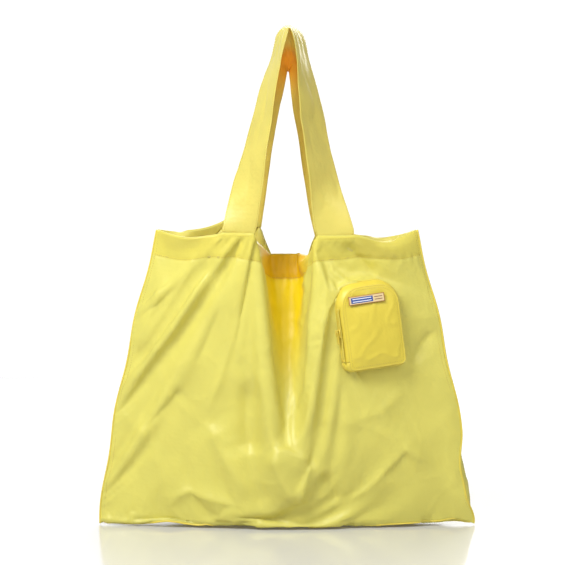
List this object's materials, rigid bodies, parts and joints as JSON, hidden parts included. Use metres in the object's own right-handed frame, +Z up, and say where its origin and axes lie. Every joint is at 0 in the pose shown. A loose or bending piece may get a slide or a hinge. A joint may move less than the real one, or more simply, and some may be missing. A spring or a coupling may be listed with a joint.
{
  "type": "foldable tote bag",
  "caption": "Foldable yellow nylon tote bag with two shoulder straps, a folded-in mouth hem and a small zipped pouch on the front.",
  "frame": {"origin": "middle of the base, on the ground", "axes": "+Z up, the front with the pouch faces -Y, +X to the front's right"},
  "size_m": [0.4808, 0.1172, 0.6328],
  "materials": {
    "nylon": "thin woven nylon, slightly see-through",
    "strap": "the same nylon, folded double",
    "binding": "overlocked nylon seam",
    "label": "woven polyester label",
    "zip_tape": "knitted polyester tape",
    "zip_coil": "moulded nylon coil",
    "zip_metal": "die-cast zinc, lacquered yellow"
  },
  "bodies": {
    "bag": {"front_panel": "nylon", "back_panel": "nylon", "base_gusset": "nylon", "front_mouth_hem": "nylon", "back_mouth_hem": "nylon", "front_base_seam": "binding", "back_base_seam": "binding", "left_side_seam": "binding", "right_side_seam": "binding", "front_left_strap_end": "strap", "front_right_strap_end": "strap", "back_left_strap_end": "strap", "back_right_strap_end": "strap", "pouch_back": "nylon", "pouch_wall": "nylon", "pouch_front": "nylon", "pouch_front_seam": "binding", "woven_label": "label", "zip_tape_front": "zip_tape", "zip_tape_back": "zip_tape", "zip_coil_front": "zip_coil", "zip_coil_back": "zip_coil", "zip_lower_stop": "zip_metal", "zip_upper_stop": "zip_metal"},
    "front_handle": {"front_strap": "strap"},
    "back_handle": {"back_strap": "strap"},
    "slider": {"zip_slider": "zip_metal"},
    "pull": {"zip_pull": "zip_metal"}
  },
  "joints": [
    {"name": "front_strap_fold", "type": "hinge", "parent": "bag", "child": "front_handle", "pos_m": [0, -0.044, 0.372], "axis": [1, 0, 0], "range_deg": [0, 155]},
    {"name": "back_strap_fold", "type": "hinge", "parent": "bag", "child": "back_handle", "pos_m": [0, 0.044, 0.372], "axis": [-1, 0, 0], "range_deg": [0, 155]},
    {"name": "zip_travel", "type": "slide", "parent": "bag", "child": "slider", "axis": [-0.1291, 0.008, 0.9916], "range_m": [-0.026, 0.02]},
    {"name": "pull_swing", "type": "hinge", "parent": "slider", "child": "pull", "pos_m": [0.06202, -0.05567, 0.25016], "axis": [-0.2754, 0.9603, -0.0436], "range_deg": [0, 155]}
  ]
}
